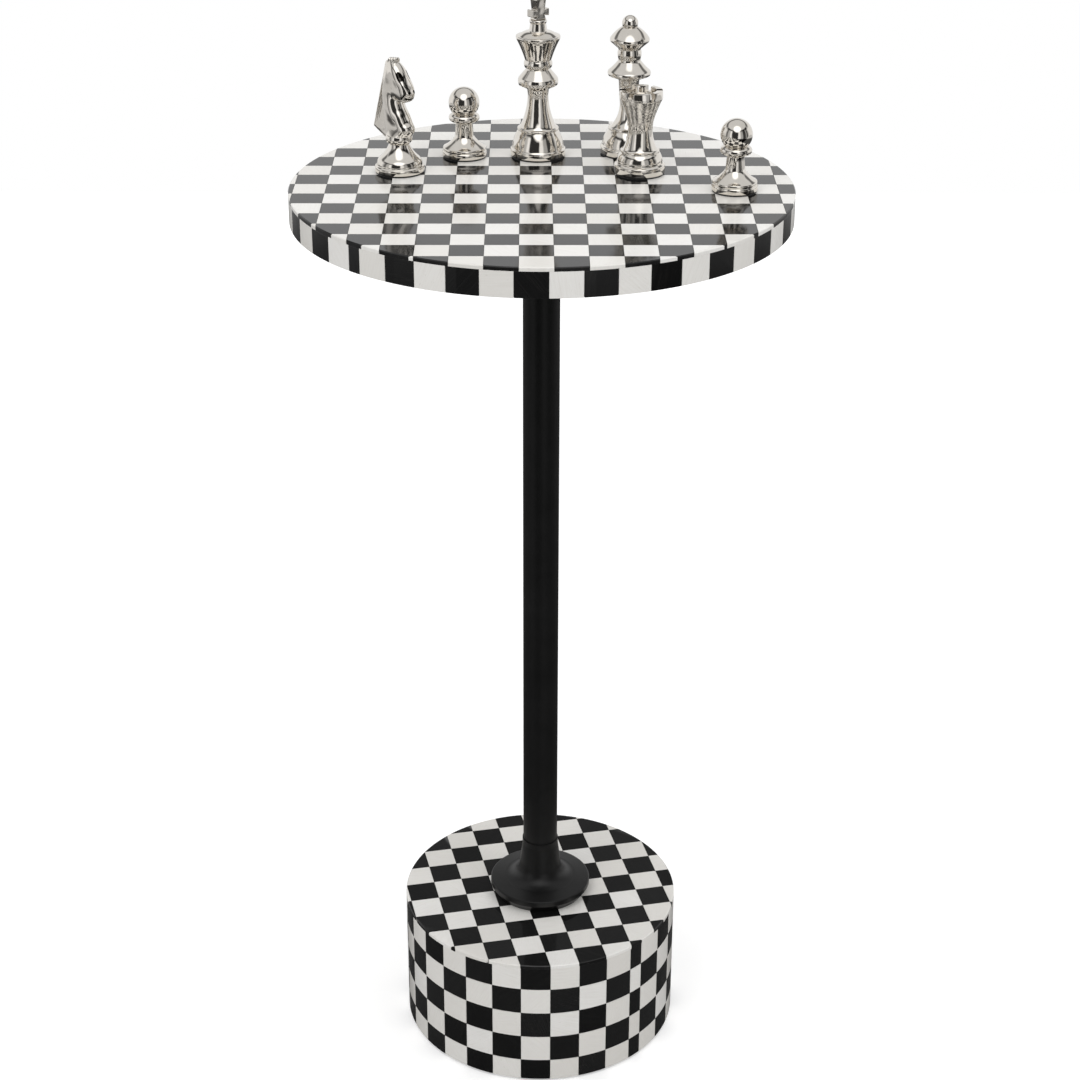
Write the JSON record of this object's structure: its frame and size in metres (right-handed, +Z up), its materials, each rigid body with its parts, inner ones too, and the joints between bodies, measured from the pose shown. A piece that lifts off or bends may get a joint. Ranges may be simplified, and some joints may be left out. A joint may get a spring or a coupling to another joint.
{
  "type": "chess side table",
  "caption": "Small round pedestal side table with a checkered tile top and drum base, a black steel column and loose polished metal chess figures on top.",
  "frame": {"origin": "on the floor, on the axis of the column, at the bottom of the felt pads", "axes": "+Z up along the column, -Y towards the front as pictured, +X to its right"},
  "size_m": [0.25, 0.25, 0.5731],
  "materials": {
    "fibreboard": "fibreboard painted matt black",
    "tile_white": "polished cast resin with a fine grain, lacquered",
    "tile_black": "polished cast resin, lacquered",
    "black_steel": "satin black powder coat",
    "zinc_steel": "zinc plated",
    "ballast": "raw casting",
    "felt": "pressed felt",
    "nickel": "cast, polished and nickel plated"
  },
  "bodies": {
    "table": {"tabletop_core": "fibreboard", "base_top_board": "fibreboard", "base_wall": "fibreboard", "base_bottom_cover": "fibreboard", "top_tiles_white": "tile_white", "rim_tiles_white": "tile_white", "base_top_tiles_white": "tile_white", "base_side_tiles_white": "tile_white", "top_tiles_black": "tile_black", "rim_tiles_black": "tile_black", "base_top_tiles_black": "tile_black", "base_side_tiles_black": "tile_black", "top_flange": "black_steel", "column_tube": "black_steel", "base_collar": "black_steel", "tie_rod": "zinc_steel", "rod_washer": "zinc_steel", "rod_nut": "zinc_steel", "flange_screws": "zinc_steel", "cover_screws": "zinc_steel", "ballast_block": "ballast", "felt_pads": "felt"},
    "king": {"king": "nickel", "king_felt": "felt"},
    "queen": {"queen": "nickel", "queen_felt": "felt"},
    "rook": {"rook": "nickel", "rook_felt": "felt"},
    "knight": {"knight": "nickel", "knight_felt": "felt"},
    "pawn_left": {"pawn_left": "nickel", "pawn_left_felt": "felt"},
    "pawn_right": {"pawn_right": "nickel", "pawn_right_felt": "felt"}
  },
  "joints": [
    {"name": "king_lift", "type": "slide", "parent": "table", "child": "king", "axis": [0, 0, 1], "range_m": [0, 0.1]},
    {"name": "queen_lift", "type": "slide", "parent": "table", "child": "queen", "axis": [0, 0, 1], "range_m": [0, 0.1]},
    {"name": "rook_lift", "type": "slide", "parent": "table", "child": "rook", "axis": [0, 0, 1], "range_m": [0, 0.1]},
    {"name": "knight_lift", "type": "slide", "parent": "table", "child": "knight", "axis": [0, 0, 1], "range_m": [0, 0.1]},
    {"name": "pawn_left_lift", "type": "slide", "parent": "table", "child": "pawn_left", "axis": [0, 0, 1], "range_m": [0, 0.1]},
    {"name": "pawn_right_lift", "type": "slide", "parent": "table", "child": "pawn_right", "axis": [0, 0, 1], "range_m": [0, 0.1]}
  ]
}
